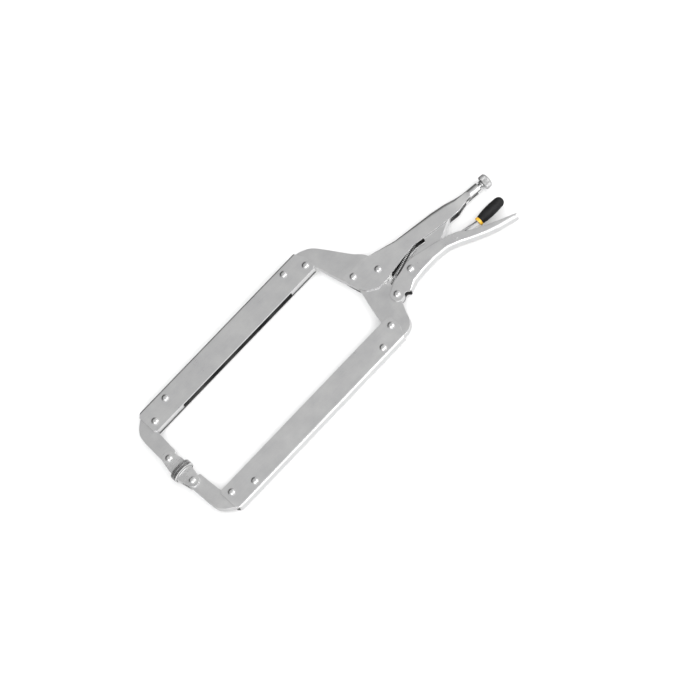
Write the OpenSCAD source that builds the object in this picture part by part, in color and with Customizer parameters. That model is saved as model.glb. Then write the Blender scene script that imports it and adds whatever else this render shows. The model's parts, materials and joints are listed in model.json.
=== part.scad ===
// Locking C-clamp pliers with long reach arms and swivel pads, in millimetres.
// Origin: middle of the fixed pad's clamping face. +X runs along the arms from the pads
// to the handles, +Y goes from the pad faces to the fixed arm, +Z is the way the pivots point.

/* [Reach] */
// Distance from the pads to the jaw pivot, along the arms
jaw_reach = 304; // [240:1:360]
// Distance from the line between the pads to the inner edge of each arm
arm_offset = 49.5; // [44:0.5:56]
// Width of an arm, from its open edge to the outside of its web
arm_width = 29.5; // [26:0.5:34]
// Distance from the pads to the lower end of both arms
arm_start = 10; // [6:0.5:16]

/* [Sheet and plates] */
// Thickness of the folded sheet of the arms and handles
sheet = 2; // [1.5:0.1:2.4]
// Inside width of the folded channels
channel_gap = 11; // [9:0.5:13]
// Outside radius of the folds of the arms
fold_radius = 2.4; // [1:0.1:3]
// Side play of each moving plate in its channel
side_play = 0.2; // [0.1:0.05:0.4]
// Thickness of the toggle link
link_thick = 10; // [7:0.5:10.4]

/* [Rivets] */
// Shank radius of all rivets
rivet_r = 3; // [2.5:0.1:3.4]
// Head radius of the rivets
rivet_head_r = 4.4; // [4:0.1:5]
// Height of the domed rivet heads
rivet_head_h = 1.8; // [1:0.1:2.5]
// Radial running clearance of all pivots
running_gap = 0.05; // [0.02:0.01:0.1]

/* [Handles] */
// Offset of the jaw pivot from the line between the pads
pivot_side = -4; // [-8:0.5:0]
// Length of the upper handle from the jaw pivot to its end
handle_length = 141; // [130:1:155]
// Tilt of the adjusting screw, in degrees
screw_tilt = 6; // [3:0.5:9]
// Outside radius of the neck that carries the screw
neck_r = 5.6; // [5:0.1:6.4]
// Gap left between the toggle link and the screw tip
link_gap = 2.8; // [2.6:0.1:4]

/* [Screw] */
// Outside radius of the thread
thread_r = 3.2; // [2.8:0.1:3.6]
// Pitch of the thread
thread_pitch = 1; // [0.8:0.05:1.5]
// Radius of the knurled knob
knob_r = 8.1; // [7:0.1:9]
// Length of the knob
knob_length = 9.4; // [8:0.1:12]

/* [Release lever] */
// Radius of the release lever's pin
release_pin_r = 1.8; // [1.4:0.1:2.2]
// Length of the rubber grip
grip_length = 37; // [28:1:42]
// Largest radius of the rubber grip
grip_r = 7; // [5.5:0.1:7.4]

/* [Pads] */
// Radius of the pad's round foot
foot_r = 13.5; // [11:0.5:16]
// Thickness of the foot
foot_thick = 4; // [3:0.2:5]
// Distance from the clamping face to the pad's rivet
pad_rivet_offset = 18.2; // [17:0.2:22]
// Thickness of each ear of the pad
ear_thick = 2.4; // [2:0.1:3]
// Width of the ears where they leave the foot
ear_width = 20; // [17:0.5:22]

/* [Hidden] */
channel_thick = channel_gap + 2 * sheet;
moving_thick = channel_gap - 2 * side_play;
moving_channel = moving_thick + 2 * sheet;
arm_outer = arm_offset + arm_width;
arm_root = jaw_reach - 43;
moving_arm_root = jaw_reach - 30;
hole_r = rivet_r + running_gap;
head_sphere_r = (rivet_head_r * rivet_head_r + rivet_head_h * rivet_head_h) / (2 * rivet_head_h);
big = 400;

// Pivots, seen from the jaw pivot
jaw_pivot = [0, 0];
front_rivet_at = [-24, 14.5];
handle_pivot = [-6.5, -35.5];
link_pivot = [24, -26.5];
link_head = [98, -11.2];
spring_hole = [-1.4, -21];
spring_tab_at = [60, -1];
release_pivot = [82, -38.5];
link_head_r = 5;
jaw_boss_r = 12;
handle_boss_r = 7.8;

// Rivets of the arms, from the arm's end and its outer edge
tip_rivets = [[9.2, 19.5], [35, 9.5]];
root_rivets = [[-6.5, 19.8], [-30, 8.8]];

pad_hub_r = 7.6;
tip_inner = 12.6;
tip_width = 17.8;
neck_end = [handle_length, -15.6];
neck_length = 22;
screw_from = 98 + link_head_r + link_gap;
screw_to = handle_length + 5.5;
collar_r = 4.6;
grip_at = [111.5, -43.2];
grip_tilt = -2;
strip_thick = 2.2;
coil_r = 2.9;
wire_r = 0.8;
spring_from = [9, -17.3];
spring_to = [52, -4.6];
coil_count = 24;
strip_width = 8.6;
collar_length = 3.4;

// ---- helpers ----

module slab(t) {
    translate([0, 0, -t / 2])
        linear_extrude(t)
            children();
}

module at_pivot() {
    translate([jaw_reach, pivot_side, 0])
        children();
}

module spot(p, r) {
    translate(p)
        circle(r, $fn = 48);
}

module hole(p, r) {
    translate([p[0], p[1], 0])
        cylinder(h = 60, r = r, center = true, $fn = 48);
}

// A shank with a domed head at both ends, over a stack of the given thickness
module rivet(p, stack) {
    translate([p[0], p[1], 0]) {
        cylinder(h = stack, r = rivet_r, center = true, $fn = 48);
        for (side = [0, 180])
            rotate([side, 0, 0])
                translate([0, 0, stack / 2])
                    intersection() {
                        translate([0, 0, rivet_head_h - head_sphere_r])
                            sphere(head_sphere_r, $fn = 48);
                        cylinder(h = rivet_head_h + 1, r = rivet_head_r, $fn = 48);
                    }
    }
}

// Rounds the outer corners of a flat outline, then its inner ones
module soften(outer, inner) {
    offset(r = -inner, $fn = 32)
        offset(r = inner + outer, $fn = 32)
            offset(delta = -outer)
                children();
}

// ---- arms ----

// Cross-section of an arm: a channel, open towards the other arm
module arm_section(thick) {
    difference() {
        union() {
            translate([arm_offset, -thick / 2])
                square([arm_width - fold_radius, thick]);
            for (side = [-1, 1])
                translate([arm_outer - fold_radius, side * (thick / 2 - fold_radius)])
                    circle(fold_radius, $fn = 40);
            translate([arm_offset, fold_radius - thick / 2])
                square([arm_width, thick - 2 * fold_radius]);
        }
        translate([arm_offset - 1, sheet - thick / 2])
            square([arm_width - sheet + 1, thick - 2 * sheet]);
    }
}

// An arm on the +Y side, from the tip end to its root, with its corners cut off
module arm(thick, root) {
    difference() {
        translate([arm_start, 0, 0])
            rotate([90, 0, 90])
                linear_extrude(root - arm_start)
                    arm_section(thick);
        // both outer corners and both inner corners
        slab(big)
            polygon([[arm_start - 1, arm_outer - 5], [arm_start - 1, arm_outer + 1],
                [arm_start + 6, arm_outer + 1]]);
        slab(big)
            polygon([[arm_start - 1, arm_offset + 4], [arm_start - 1, arm_offset - 1],
                [arm_start + 4, arm_offset - 1]]);
        slab(big)
            polygon([[root + 1, arm_outer - 14], [root + 1, arm_outer + 1],
                [root - 7, arm_outer + 1]]);
        slab(big)
            polygon([[root + 1, arm_offset + 4], [root + 1, arm_offset - 1],
                [root - 4, arm_offset - 1]]);
        for (r = tip_rivets)
            hole([arm_start + r[0], arm_outer - r[1]], hole_r);
        for (r = root_rivets)
            hole([root + r[0], arm_outer - r[1]], hole_r);
    }
}

module fixed_arm() {
    color([0.72, 0.72, 0.73])
        arm(channel_thick, arm_root);
}

module moving_arm() {
    color([0.72, 0.72, 0.73])
        mirror([0, 1, 0])
            arm(moving_channel, moving_arm_root);
}

module arm_rivets(rows, base, stack) {
    for (r = rows)
        rivet([base + r[0], arm_outer - r[1]], stack);
}

module fixed_tip_rivets() {
    color([0.8, 0.8, 0.81])
        arm_rivets(tip_rivets, arm_start, channel_thick);
}

module fixed_root_rivets() {
    color([0.8, 0.8, 0.81])
        arm_rivets(root_rivets, arm_root, channel_thick);
}

module moving_tip_rivets() {
    color([0.8, 0.8, 0.81])
        mirror([0, 1, 0])
            arm_rivets(tip_rivets, arm_start, moving_channel);
}

module moving_root_rivets() {
    color([0.8, 0.8, 0.81])
        mirror([0, 1, 0])
            arm_rivets(root_rivets, moving_arm_root, moving_channel);
}

// ---- jaw tips ----

// The hooked plate at the end of an arm, on the +Y side
module tip(thick) {
    difference() {
        slab(thick) {
            soften(2, 0.5)
                polygon([[tip_inner - 1.8, pad_rivet_offset], [tip_inner, arm_offset - 2.5],
                    [tip_inner + 1.5, arm_offset + 1], [arm_start + 44, arm_offset + 1],
                    [arm_start + 44, arm_outer - sheet], [arm_start + 6, arm_outer - sheet],
                    [arm_start - 3, arm_outer - 7], [tip_inner - tip_width + 4, arm_outer - 14],
                    [tip_inner - tip_width - 0.2, arm_outer - 22],
                    [tip_inner - tip_width - 1, pad_rivet_offset + 7],
                    [tip_inner - tip_width - 2, pad_rivet_offset]]);
            spot([0.6, pad_rivet_offset], pad_hub_r);
        }
        hole([0, pad_rivet_offset], hole_r);
        for (r = tip_rivets)
            hole([arm_start + r[0], arm_outer - r[1]], hole_r);
    }
}

module fixed_tip() {
    color([0.68, 0.68, 0.69])
        tip(channel_gap);
}

module moving_tip() {
    color([0.68, 0.68, 0.69])
        mirror([0, 1, 0])
            tip(moving_thick);
}

// ---- swivel pads ----

// A pad on the +Y side with its clamping face on the plane y = 0
module pad(inside) {
    difference() {
        union() {
            rotate([-90, 0, 0])
                rotate_extrude($fn = 96)
                    polygon([[0, 0], [foot_r - 0.8, 0], [foot_r, 0.8], [foot_r, foot_thick - 0.8],
                        [foot_r - 0.8, foot_thick], [0, foot_thick]]);
            // folded base between the ears
            translate([-ear_width / 2, foot_thick - 1, -inside / 2 - ear_thick])
                cube([ear_width, 3, inside + 2 * ear_thick]);
            for (side = [-1, 1])
                translate([0, 0, side * (inside + ear_thick) / 2])
                    slab(ear_thick)
                        hull() {
                            spot([0, pad_rivet_offset], pad_hub_r);
                            translate([-ear_width / 2, foot_thick - 0.5])
                                square([ear_width, 4]);
                        }
        }
        hole([0, pad_rivet_offset], hole_r);
    }
}

module fixed_pad() {
    color([0.7, 0.7, 0.71])
        pad(channel_gap + 2 * side_play);
}

module moving_pad() {
    color([0.7, 0.7, 0.71])
        mirror([0, 1, 0])
            pad(moving_thick + 2 * side_play);
}

module fixed_pad_rivet() {
    color([0.8, 0.8, 0.81])
        rivet([0, pad_rivet_offset], channel_gap + 2 * (side_play + ear_thick));
}

module moving_pad_rivet() {
    color([0.8, 0.8, 0.81])
        rivet([0, -pad_rivet_offset], moving_thick + 2 * (side_play + ear_thick));
}

// ---- jaw roots ----

module fixed_jaw() {
    x = jaw_reach;
    y = pivot_side;
    color([0.66, 0.66, 0.67])
        difference() {
            slab(channel_gap)
                polygon([[x - 29.8, y + 1.2], [x - 32.4, y + 11.7], [x - 38, y + 32.4],
                    [x - 41.5, arm_offset - 4], [x - 43, arm_offset - 1.5],
                    [x - 45, arm_offset + 1],
                    [x - 82, arm_offset + 1], [x - 82, arm_outer - sheet],
                    [x - 47, arm_outer - sheet], [x - 39, arm_outer - 5],
                    [x - 31.2, arm_outer - 9.7], [x - 25.8, arm_outer - 17],
                    [x - 5.8, y + 33.4], [x + 4, y + 22],
                    [x + 4, y + jaw_boss_r + 0.6], [x, y + jaw_boss_r + 0.6], [x - 12, y + 5]]);
            at_pivot() {
                hole(jaw_pivot, jaw_boss_r + 0.4);
                hole(front_rivet_at, hole_r);
            }
            for (r = root_rivets)
                hole([arm_root + r[0], arm_outer - r[1]], hole_r);
        }
}

module moving_jaw() {
    x = jaw_reach;
    y = pivot_side;
    color([0.66, 0.66, 0.67])
        difference() {
            slab(moving_thick) {
                polygon([[x - 29.8, y + 0.6], [x - 30.6, y - 4.5], [x - 35, y - 19.3],
                    [x - 38, y - 32], [x - 40.5, 2 - arm_offset],
                    [x - 42, -arm_offset - 1],
                    [x - 70, -arm_offset - 1], [x - 70, sheet - arm_outer],
                    [x - 26, sheet - arm_outer], [x - 18.3, 8 - arm_outer],
                    [x - 14, 19.5 - arm_outer], [x - 8.2, y - 43.2],
                    [x - 1, y - 36], [x + 1.5, y - 25], [x + 8, y - 9], [x, y], [x - 11.5, y + 3.6]]);
                translate([x, y]) {
                    spot(jaw_pivot, jaw_boss_r);
                    spot(handle_pivot, handle_boss_r - 0.3);
                    spot(spring_hole, 4.6);
                }
            }
            at_pivot() {
                hole(jaw_pivot, hole_r);
                hole(handle_pivot, hole_r);
                hole(spring_hole, 1.2);
                // the ear is thinner, so that the spring's hook lies on it
                translate([spring_hole[0], spring_hole[1], coil_r - 1])
                    cylinder(h = 20, r = 6.4, $fn = 48);
            }
            for (r = root_rivets)
                hole([moving_arm_root + r[0], r[1] - arm_outer], hole_r);
        }
}

module front_rivet() {
    color([0.8, 0.8, 0.81])
        at_pivot()
            rivet(front_rivet_at, channel_thick);
}

module pivot_rivet() {
    color([0.8, 0.8, 0.81])
        at_pivot()
            rivet(jaw_pivot, channel_thick);
}

// ---- upper handle ----

// Side outline of the upper handle, seen from the jaw pivot
module upper_outline() {
    soften(3, 4)
        polygon([[-33.5, 23], [-20, 20.8], [-12.5, 21], [-7, 22], [5, 18.3], [36, 8.9],
            [84, 2], [112, -4.2], [handle_length - 13, -8],
            [handle_length - 13, -20.6], [106, -21], [80, -16.9], [46, -10.4], [26, -12],
            [-2, -15.6], [-15, -15.2], [-26.5, -7.5], [-30.5, 1], [-34, 17]]);
}

module screw_axis() {
    translate([neck_end[0], neck_end[1], 0])
        rotate([0, 90, -screw_tilt])
            children();
}

module upper_handle() {
    color([0.74, 0.74, 0.75])
        at_pivot()
            difference() {
                union() {
                    for (side = [-1, 1])
                        translate([0, 0, side * (channel_gap + sheet) / 2])
                            slab(sheet)
                                upper_outline();
                    // web along the back
                    slab(channel_thick)
                        difference() {
                            upper_outline();
                            translate([0, -sheet])
                                upper_outline();
                            translate([-big, -big / 2])
                                square([big + 4, big]);
                            translate([40, -big - 6])
                                square([big, big]);
                        }
                    // round neck at the end, and the shoulder that leads into it
                    screw_axis()
                        translate([0, 0, -neck_length])
                            cylinder(h = neck_length, r = neck_r, $fn = 64);
                    screw_axis()
                        translate([0, 0, -neck_length])
                            cylinder(h = 14, r1 = channel_thick / 2, r2 = neck_r, $fn = 64);
                    // tab inside the web that holds the spring
                    translate([spring_tab_at[0] - 3, spring_tab_at[1] - 3, -1])
                        cube([6, 8, 2]);
                }
                screw_axis()
                    cylinder(h = 2 * neck_length + 20, r = thread_r + running_gap, center = true,
                        $fn = 64);
                // slot under the neck
                translate([handle_length - 12, neck_end[1] - 5, 0])
                    rotate([0, 0, -screw_tilt])
                        cube([13, 8, 4.4], center = true);
                hole(jaw_pivot, hole_r);
                hole(front_rivet_at, hole_r);
                translate([spring_tab_at[0], spring_tab_at[1], 0])
                    cylinder(h = 3, r = 1.1, center = true, $fn = 24);
            }
}

// ---- lower handle ----

// Side outline of the lower handle, seen from the jaw pivot
module lower_outline() {
    soften(1.2, 4) {
        polygon([[-8.5, -28], [2, -23], [14, -21], [25, -18.2], [34, -19], [60, -25.6],
            [80, -32.3], [88.5, -36.2], [96.6, -44], [115, -55], [128.5, -61.8], [145.5, -69.8],
            [144.5, -73.6], [122, -66.6], [108.5, -60.8], [95, -54], [81, -46], [68, -40.2],
            [51, -38.2], [33, -38.2], [18, -39.6], [5, -44], [2, -40], [-6.5, -43.2]]);
        spot(handle_pivot, handle_boss_r);
    }
}

module lower_handle() {
    color([0.74, 0.74, 0.75])
        at_pivot()
            difference() {
                union() {
                    for (side = [-1, 1])
                        translate([0, 0, side * (channel_gap + sheet) / 2])
                            slab(sheet)
                                lower_outline();
                    // web along the outside
                    slab(channel_thick)
                        difference() {
                            lower_outline();
                            translate([0, 1.12 * sheet])
                                lower_outline();
                            translate([-big, -big / 2])
                                square([big + 7, big]);
                        }
                }
                hole(handle_pivot, hole_r);
                hole(link_pivot, hole_r);
                hole(release_pivot, release_pin_r + running_gap);
            }
}

module handle_rivet() {
    color([0.8, 0.8, 0.81])
        at_pivot()
            rivet(handle_pivot, channel_thick);
}

module link_rivet() {
    color([0.8, 0.8, 0.81])
        at_pivot()
            rivet(link_pivot, channel_thick);
}

module toggle_link() {
    color([0.62, 0.62, 0.63])
        at_pivot()
            difference() {
                slab(link_thick)
                    soften(4, 3) {
                        polygon([[16, -25], [18.5, -19.6], [36, -18], [47, -14.6], [62, -11.4],
                            [98, -6.2], [103, -6.2], [103, -16.2], [99, -16.2], [87, -20],
                            [70, -27.8], [62, -32], [22, -33.5]]);
                    }
                hole(link_pivot, hole_r);
                // half-round relief in the edge that faces the upper handle
                hole([54, -13], 4.2);
            }
}

// ---- release lever ----

module in_grip() {
    translate([grip_at[0], grip_at[1], 0])
        rotate([0, 0, grip_tilt])
            children();
}

// Bent strip with a barrel around the pin
module release_lever() {
    color([0.7, 0.7, 0.71])
        at_pivot()
            difference() {
                union() {
                    slab(strip_width)
                        polygon([[71, -32], [72.5, -34.6], [82, -37], [95, -40.2], [111.5, -44.3],
                            [111.5, -42.1], [95, -38], [83, -34.8], [75, -31.8], [72, -30.8]]);
                    slab(strip_width)
                        spot(release_pivot, 4);
                    in_grip()
                        translate([-1, -strip_thick / 2, -strip_width / 2])
                            cube([grip_length - 4, strip_thick, strip_width]);
                }
                hole(release_pivot, release_pin_r + running_gap);
            }
}

module release_pin() {
    color([0.8, 0.8, 0.81])
        at_pivot()
            translate([release_pivot[0], release_pivot[1], 0]) {
                cylinder(h = channel_thick, r = release_pin_r, center = true, $fn = 32);
                for (side = [-1, 1])
                    translate([0, 0, side * (channel_thick + 0.6) / 2])
                        cylinder(h = 0.6, r = release_pin_r + 0.7, center = true, $fn = 32);
            }
}

// Space that the strip takes up inside the grip and its collar
module strip_slot() {
    translate([-1, -strip_thick / 2, -strip_width / 2])
        cube([grip_length - 4, strip_thick, strip_width]);
}

// Round grip that swells towards its end, with ring ribs
module release_grip() {
    ribs = 9;
    step = (grip_length - 9) / ribs;
    color([0.09, 0.09, 0.09])
        at_pivot()
            in_grip()
                difference() {
                    rotate([0, 90, 0])
                        rotate_extrude($fn = 64)
                            polygon(concat([[0, collar_length], [5.1, collar_length]],
                                [for (i = [0 : ribs - 1]) for (k = [0, 0.25, 0.75])
                                    [5.1 + (grip_r - 5.1) * sin(120 * i / ribs)
                                        - (k == 0 ? 0.6 : 0), collar_length + 0.6 + (i + k) * step]],
                                [[grip_r - 0.6, grip_length - 3.6],
                                    [grip_r - 1.8, grip_length - 1.4],
                                    [grip_r - 3.6, grip_length], [0, grip_length]]));
                    strip_slot();
                }
}

module grip_collar() {
    color([0.9, 0.72, 0.1])
        at_pivot()
            in_grip()
                difference() {
                    rotate([0, 90, 0])
                        cylinder(h = collar_length, r = 5.1, $fn = 64);
                    strip_slot();
                }
}

// ---- spring ----

// A straight wire in the spring's upper plane, with a leg down into a hole
module hook(from, into) {
    d = into - from;
    translate([from[0], from[1], coil_r])
        rotate([0, 90, atan2(d[1], d[0])])
            cylinder(h = norm(d), r = wire_r, $fn = 24);
    translate([into[0], into[1], -coil_r])
        cylinder(h = 2 * coil_r, r = wire_r, $fn = 24);
    translate([into[0], into[1], coil_r])
        sphere(wire_r + 0.12, $fn = 24);
}

// Close coils as touching rings, with a hook at both ends
module tension_spring() {
    d = spring_to - spring_from;
    pitch = norm(d) / coil_count;
    color([0.6, 0.6, 0.6])
        at_pivot() {
            translate([spring_from[0], spring_from[1], 0])
                rotate([0, 90, atan2(d[1], d[0])])
                    for (i = [0 : coil_count])
                        translate([0, 0, i * pitch])
                            rotate_extrude($fn = 32)
                                translate([coil_r, 0])
                                    circle(pitch / 2 + 0.06, $fn = 12);
            hook(spring_from, spring_hole);
            hook(spring_to, spring_tab_at);
        }
}

// ---- adjusting screw ----

module screw_shank() {
    start = screw_from - handle_length;
    length = screw_to - screw_from;
    threads = floor((length - 12) / thread_pitch);
    color([0.78, 0.78, 0.79])
        at_pivot()
            screw_axis()
                translate([0, 0, start])
                    rotate_extrude($fn = 48)
                        polygon(concat(
                            [[0, 0], [1.6, 0], [thread_r - 0.5, 1.6]],
                            [for (i = [0 : threads - 1]) for (k = [0, 0.5])
                                [k == 0 ? thread_r - 0.5 : thread_r, 2 + (i + k) * thread_pitch]],
                            [[thread_r - 0.5, 2 + threads * thread_pitch],
                                [thread_r - 0.5, length - 3], [collar_r, length - 2.6],
                                [collar_r, length], [0, length]]));
}

module screw_knob() {
    color([0.78, 0.78, 0.79])
        at_pivot()
            screw_axis()
                translate([0, 0, screw_to - handle_length])
                    difference() {
                        rotate_extrude($fn = 64)
                            polygon([[0, 0], [knob_r - 1.6, 0], [knob_r, 1.4],
                                [knob_r, knob_length - 1.2], [knob_r - 1.4, knob_length],
                                [0, knob_length]]);
                        for (i = [0 : 35])
                            rotate([0, 0, i * 10])
                                translate([knob_r + 0.25, 0, knob_length / 2])
                                    rotate([0, 0, 45])
                                        cube([0.8, 0.8, knob_length - 3.6], center = true);
                    }
}

upper_handle();
fixed_jaw();
fixed_arm();
fixed_tip();
fixed_root_rivets();
fixed_tip_rivets();
fixed_pad();
fixed_pad_rivet();
front_rivet();
pivot_rivet();
moving_jaw();
moving_arm();
moving_tip();
moving_root_rivets();
moving_tip_rivets();
moving_pad();
moving_pad_rivet();
lower_handle();
handle_rivet();
link_rivet();
toggle_link();
release_lever();
release_pin();
release_grip();
grip_collar();
tension_spring();
screw_shank();
screw_knob();
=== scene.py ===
import json
import math
import bpy
import bmesh
from mathutils import Matrix, Vector
from mathutils.geometry import tessellate_polygon


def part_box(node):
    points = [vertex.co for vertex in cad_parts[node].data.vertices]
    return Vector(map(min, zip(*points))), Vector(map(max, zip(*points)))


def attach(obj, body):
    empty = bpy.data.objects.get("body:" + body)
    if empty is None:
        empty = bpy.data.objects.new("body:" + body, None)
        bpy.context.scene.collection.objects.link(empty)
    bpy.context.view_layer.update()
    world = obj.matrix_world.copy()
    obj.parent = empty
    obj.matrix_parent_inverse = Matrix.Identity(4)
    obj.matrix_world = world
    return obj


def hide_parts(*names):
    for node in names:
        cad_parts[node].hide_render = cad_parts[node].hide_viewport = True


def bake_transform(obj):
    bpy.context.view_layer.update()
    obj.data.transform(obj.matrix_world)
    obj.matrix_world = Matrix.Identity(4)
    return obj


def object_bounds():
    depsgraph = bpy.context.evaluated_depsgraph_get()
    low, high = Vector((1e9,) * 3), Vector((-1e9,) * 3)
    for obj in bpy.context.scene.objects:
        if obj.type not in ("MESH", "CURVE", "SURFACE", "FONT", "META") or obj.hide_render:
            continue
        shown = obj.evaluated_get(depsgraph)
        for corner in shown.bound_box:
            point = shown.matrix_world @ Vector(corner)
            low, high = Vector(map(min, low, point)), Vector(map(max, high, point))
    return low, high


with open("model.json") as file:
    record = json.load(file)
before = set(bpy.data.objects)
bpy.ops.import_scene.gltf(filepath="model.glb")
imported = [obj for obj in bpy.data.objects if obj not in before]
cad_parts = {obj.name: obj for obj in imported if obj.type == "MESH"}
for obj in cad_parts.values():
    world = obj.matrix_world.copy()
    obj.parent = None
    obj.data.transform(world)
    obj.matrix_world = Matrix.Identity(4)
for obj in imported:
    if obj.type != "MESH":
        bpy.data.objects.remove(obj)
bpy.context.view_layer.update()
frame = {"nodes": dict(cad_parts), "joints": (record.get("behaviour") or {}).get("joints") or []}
scene = bpy.context.scene
scene.view_settings.view_transform = "Standard"
print("frame loaded:", len(frame["nodes"]), "nodes")

mm = 0.001
jointByName = {j["name"]: j for j in frame["joints"]}
jawPivot = Vector(jointByName["jaw_hinge"]["pos_m"])
screwAxis = Vector(jointByName["screw_slide"]["axis"]).normalized()
screwPoint = Vector(jointByName["knob_turn"]["pos_m"])
weld = 0.01 * mm


def newObject(name, mesh):
    obj = bpy.data.objects.new(name, mesh)
    scene.collection.objects.link(obj)
    return obj


def meshFrom(bm, name):
    mesh = bpy.data.meshes.new(name)
    bm.to_mesh(mesh)
    bm.free()
    return mesh


# The evaluated shape becomes the object's own plain mesh
def bakeModifiers(obj):
    depsgraph = bpy.context.evaluated_depsgraph_get()
    mesh = bpy.data.meshes.new_from_object(obj.evaluated_get(depsgraph))
    obj.modifiers.clear()
    obj.data = mesh
    return obj


def setSmooth(obj, degrees=35):
    for face in obj.data.polygons:
        face.use_smooth = True
    obj.data.set_sharp_from_angle(angle=math.radians(degrees))


def giveMaterial(obj, *materials):
    obj.data.materials.clear()
    for material in materials:
        obj.data.materials.append(material)


def rotationTo(axis):
    return axis.to_track_quat("Z", "Y").to_matrix().to_4x4()


# Rings of a profile of (distance along the axis, radius), turned about the axis through origin
def lathe(name, profile, origin, axis, steps=64):
    bm = bmesh.new()
    rings = []
    for along, radius in profile:
        if radius <= 0:
            rings.append([bm.verts.new((0, 0, along))])
            continue
        turns = [2 * math.pi * i / steps for i in range(steps)]
        rings.append([bm.verts.new((radius * math.cos(a), radius * math.sin(a), along)) for a in turns])
    for low, high in zip(rings, rings[1:]):
        for i in range(steps):
            k = (i + 1) % steps
            corners = [low[i % len(low)], low[k % len(low)], high[k % len(high)], high[i % len(high)]]
            corners = list(dict.fromkeys(corners))
            if len(corners) > 2:
                bm.faces.new(corners)
    bmesh.ops.recalc_face_normals(bm, faces=bm.faces)
    bm.transform(Matrix.Translation(origin) @ rotationTo(axis))
    return newObject(name, meshFrom(bm, name))


def joinObjects(name, parts):
    bm = bmesh.new()
    for part in parts:
        bm.from_mesh(part.data)
    mesh = meshFrom(bm, name)
    for part in parts:
        bpy.data.objects.remove(part)
    return newObject(name, mesh)


# Low and high corner of each separate solid of a CAD node
def solidsOf(node):
    bm = bmesh.new()
    bm.from_mesh(frame["nodes"][node].data)
    bmesh.ops.remove_doubles(bm, verts=bm.verts, dist=weld)
    left = set(bm.verts)
    found = []
    while left:
        group, todo = [], [left.pop()]
        while todo:
            vert = todo.pop()
            group.append(vert.co.copy())
            for edge in vert.link_edges:
                other = edge.other_vert(vert)
                if other in left:
                    left.remove(other)
                    todo.append(other)
        low = Vector([min(p[i] for p in group) for i in range(3)])
        high = Vector([max(p[i] for p in group) for i in range(3)])
        found.append((low, high))
    bm.free()
    return sorted(found, key=lambda s: s[0].x)


# Where a CAD node starts and ends along an axis, and its largest radius about it
def spanAlong(node, origin, axis):
    rel = [v.co - origin for v in frame["nodes"][node].data.vertices]
    along = [p.dot(axis) for p in rel]
    radius = max((p - axis * p.dot(axis)).length for p in rel)
    return min(along), max(along), radius


cameraLook = {
    "target": (0.21962, -0.02643, 0.0),
    "right": (0.68895, -0.70445, -0.17059),
    "up": (0.71780, 0.63045, 0.29547),
    "distance": 4.0,
    "widthAtTarget": 0.7344,
    "sensor": 36.0,
}


def makeCamera():
    look = cameraLook
    right = Vector(look["right"]).normalized()
    back = right.cross(Vector(look["up"])).normalized()
    up = back.cross(right)
    data = bpy.data.cameras.new("camera")
    data.sensor_width = look["sensor"]
    data.lens = look["sensor"] * look["distance"] / look["widthAtTarget"]
    data.clip_end = 50
    camera = newObject("camera", data)
    place = Matrix((right, up, back)).transposed().to_4x4()
    place.translation = Vector(look["target"]) + back * look["distance"]
    camera.matrix_world = place
    scene.camera = camera


makeCamera()
print("camera placed")


# Sockets are given as (label, type), or as (label, type, default value)
def newTree(kind, name, inputs, outputs):
    tree = bpy.data.node_groups.new(name, kind)
    for side, sockets in (("INPUT", inputs), ("OUTPUT", outputs)):
        for label, socketType, *value in sockets:
            socket = tree.interface.new_socket(label, in_out=side, socket_type="NodeSocket" + socketType)
            if value:
                socket.default_value = value[0]
    return tree, tree.nodes.new("NodeGroupInput"), tree.nodes.new("NodeGroupOutput")


# Another node's output is linked, and anything else is set
def feed(tree, value, socket):
    if isinstance(value, bpy.types.NodeSocket):
        tree.links.new(value, socket)
    else:
        socket.default_value = value


def addNode(tree, kind, inputs=None, **values):
    node = tree.nodes.new(kind)
    for name, value in values.items():
        setattr(node, name, value)
    for name, value in (inputs or {}).items():
        feed(tree, value, node.inputs[name])
    return node


def noise(tree, vector, scale, detail, rough):
    node = addNode(tree, "ShaderNodeTexNoise",
                   {"Vector": vector, "Scale": scale, "Detail": detail, "Roughness": rough})
    return node.outputs["Fac"]


def mathNode(tree, operation, *values):
    node = addNode(tree, "ShaderNodeMath", operation=operation)
    for socket, value in zip(node.inputs, values):
        feed(tree, value, socket)
    return node.outputs[0]


def remap(tree, value, low, high, toLow, toHigh):
    limits = {"From Min": low, "From Max": high, "To Min": toLow, "To Max": toHigh}
    node = addNode(tree, "ShaderNodeMapRange", {"Value": value, **limits}, interpolation_type="SMOOTHSTEP")
    return node.outputs["Result"]


# Fine grain of plated steel: a mottled tint, a roughness that wanders and a shallow relief
def makePlatingGroup():
    tree, given, out = newTree("ShaderNodeTree", "platingGrain", [
        ("Vector", "Vector", (0, 0, 0)),
        ("Roughness", "Float", 0.3),
        ("Spread", "Float", 0.1),
        ("Streaks", "Float", 0.5),
    ], [("Tone", "Float"), ("Roughness", "Float"), ("Height", "Float")])
    vector = given.outputs["Vector"]
    stretch = addNode(tree, "ShaderNodeMapping", {"Scale": (0.06, 1.0, 1.0), "Vector": vector})
    clouds = noise(tree, vector, 55, 5, 0.6)
    speckle = noise(tree, vector, 1400, 2, 0.5)
    streak = noise(tree, stretch.outputs["Vector"], 700, 3, 0.6)
    lines = mathNode(tree, "MULTIPLY", mathNode(tree, "SUBTRACT", streak, 0.5), given.outputs["Streaks"])
    mixed = mathNode(tree, "MULTIPLY_ADD", mathNode(tree, "SUBTRACT", speckle, 0.5), 0.35, lines)
    tone = mathNode(tree, "ADD", clouds, mixed)
    tree.links.new(tone, out.inputs["Tone"])
    wander = mathNode(tree, "MULTIPLY", mathNode(tree, "SUBTRACT", tone, 0.5), given.outputs["Spread"])
    tree.links.new(mathNode(tree, "ADD", wander, given.outputs["Roughness"]), out.inputs["Roughness"])
    tree.links.new(mathNode(tree, "MULTIPLY_ADD", speckle, 0.6, lines), out.inputs["Height"])
    return tree


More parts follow.
